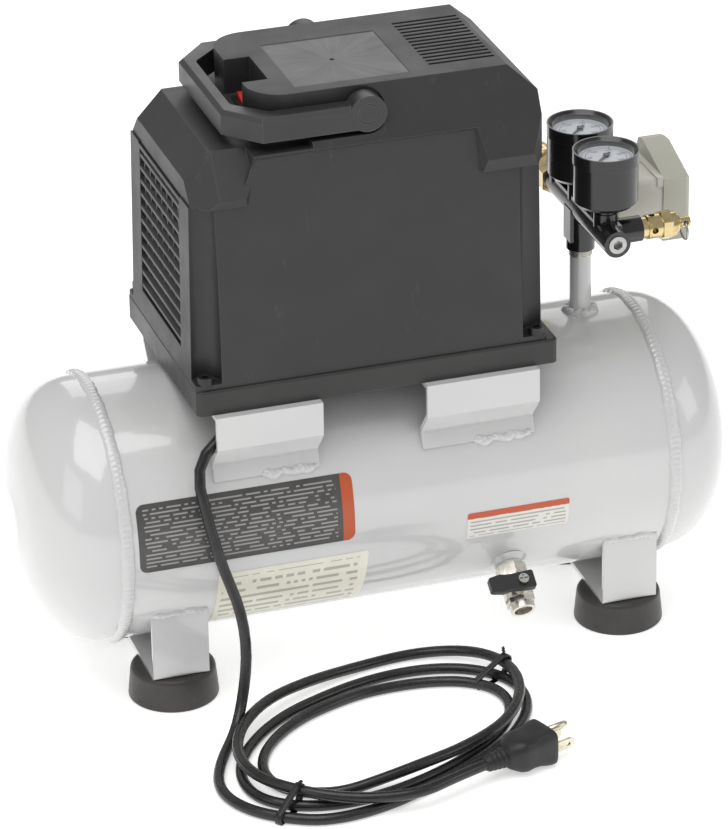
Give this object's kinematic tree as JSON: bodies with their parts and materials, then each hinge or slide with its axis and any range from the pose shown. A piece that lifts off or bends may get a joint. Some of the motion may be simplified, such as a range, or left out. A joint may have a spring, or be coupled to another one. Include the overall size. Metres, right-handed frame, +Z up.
{
  "type": "air compressor",
  "caption": "Small portable air compressor: horizontal tank on rubber feet, boxed motor with folding handle, upright gauges, safety valve, pressure switch, drain tap and coiled cord.",
  "frame": {"origin": "on the floor, at the centre of the machine's footprint without its cord", "axes": "+X along the tank towards the gauges, +Y towards the back, +Z up"},
  "size_m": [0.4534, 0.3215, 0.3845],
  "materials": {
    "tank_enamel": "gloss",
    "foot_rubber": "matte",
    "zinc_steel": "satin",
    "tray_paint": "satin",
    "housing_plastic": "textured",
    "handle_plastic": "textured",
    "switch_black": "satin",
    "switch_red": "gloss",
    "manifold_paint": "gloss",
    "gauge_black": "gloss",
    "dial_white": "printed",
    "needle_black": "satin",
    "gauge_lens": "clear",
    "brass": "bright",
    "switch_base_beige": "satin",
    "switch_cover_beige": "satin",
    "nickel": "bright",
    "lever_black": "satin",
    "motor_iron": "machined",
    "fan_plastic": "satin",
    "pump_aluminium": "cast",
    "cord_rubber": "satin",
    "tie_plastic": "satin"
  },
  "bodies": {
    "frame": {"tank_shell": "tank_enamel", "tank_head_left": "tank_enamel", "tank_head_right": "tank_enamel", "girth_welds": "tank_enamel", "tank_fittings": "tank_enamel", "bracket_front": "tank_enamel", "bracket_back": "tank_enamel", "foot_bracket_left": "tank_enamel", "foot_bracket_right": "tank_enamel", "foot_front_left": "foot_rubber", "foot_front_right": "foot_rubber", "foot_back_left": "foot_rubber", "foot_back_right": "foot_rubber", "foot_bolts": "zinc_steel", "housing_screws": "zinc_steel", "manifold_plug": "zinc_steel", "base_tray": "tray_paint", "housing": "housing_plastic", "hood": "housing_plastic", "inlet_grille": "housing_plastic", "handle_pins": "handle_plastic", "rocker_bezel": "switch_black", "manifold": "manifold_paint", "regulator_bonnet": "manifold_paint", "gauge_front_case": "gauge_black", "gauge_rear_case": "gauge_black", "gauge_front_dial": "dial_white", "gauge_rear_dial": "dial_white", "gauge_front_lens": "gauge_lens", "gauge_rear_lens": "gauge_lens", "relief_body": "brass", "outlet_bushing": "brass", "coupler_body": "brass", "plug_blades": "brass", "switch_base": "switch_base_beige", "switch_cover": "switch_cover_beige", "drain_body": "nickel", "motor_stator": "motor_iron", "crankcase": "pump_aluminium", "cylinder_head": "pump_aluminium", "discharge_line": "pump_aluminium", "power_cord": "cord_rubber", "cord_coil": "cord_rubber", "plug_body": "cord_rubber", "cord_gland": "cord_rubber", "cord_ties": "tie_plastic"},
    "handle": {"handle": "handle_plastic"},
    "rocker": {"rocker_key": "switch_red"},
    "front_needle": {"gauge_front_needle": "needle_black"},
    "rear_needle": {"gauge_rear_needle": "needle_black"},
    "relief_pull": {"relief_stem": "brass"},
    "pull_ring": {"relief_ring": "zinc_steel"},
    "sleeve": {"coupler_sleeve": "brass"},
    "regulator": {"regulator_knob": "handle_plastic"},
    "drain_tap": {"drain_ball": "nickel", "drain_lever": "lever_black", "drain_screw": "zinc_steel"},
    "rotor": {"rotor_shaft": "motor_iron", "cooling_fan": "fan_plastic"},
    "piston": {"piston_rod": "pump_aluminium"}
  },
  "joints": [
    {"name": "handle_fold", "type": "hinge", "parent": "frame", "child": "handle", "pos_m": [-0.015, 0.0075, 0.371], "axis": [0, 1, 0], "range_deg": [0, 100]},
    {"name": "rocker_press", "type": "hinge", "parent": "frame", "child": "rocker", "pos_m": [-0.0715, 0.001, 0.362], "axis": [-1, 0, 0], "range_deg": [0, 14]},
    {"name": "front_needle_turn", "type": "hinge", "parent": "frame", "child": "front_needle", "pos_m": [0.142, -0.0355, 0.312], "axis": [0, 0, -1], "range_deg": [0, 270], "stiffness_Nm_per_rad": 0.00002},
    {"name": "rear_needle_turn", "type": "hinge", "parent": "frame", "child": "rear_needle", "pos_m": [0.142, 0.0095, 0.312], "axis": [0, 0, -1], "range_deg": [0, 270], "stiffness_Nm_per_rad": 0.00002},
    {"name": "relief_slide", "type": "slide", "parent": "frame", "child": "relief_pull", "axis": [1, 0, 0], "range_m": [0, 0.003], "stiffness_N_per_m": 600},
    {"name": "pull_ring_swing", "type": "hinge", "parent": "relief_pull", "child": "pull_ring", "pos_m": [0.1926, -0.0375, 0.2625], "axis": [0, -1, 0], "range_deg": [-15, 80]},
    {"name": "sleeve_slide", "type": "slide", "parent": "frame", "child": "sleeve", "axis": [0, -1, 0], "range_m": [0, 0.004], "stiffness_N_per_m": 600},
    {"name": "regulator_turn", "type": "hinge", "parent": "frame", "child": "regulator", "pos_m": [0.142, 0.0405, 0.2625], "axis": [0, 0, 1], "range_deg": [0, 720]},
    {"name": "drain_turn", "type": "hinge", "parent": "frame", "child": "drain_tap", "pos_m": [0.0705, -0.07704, 0.04808], "axis": [0, -0.5878, 0.809], "range_deg": [0, 90]},
    {"name": "rotor_spin", "type": "hinge", "parent": "frame", "child": "rotor", "pos_m": [0, 0.0075, 0.27], "axis": [1, 0, 0], "continuous": true},
    {"name": "piston_stroke", "type": "slide", "parent": "frame", "child": "piston", "axis": [0, 0, 1], "range_m": [0, 0.016]}
  ]
}
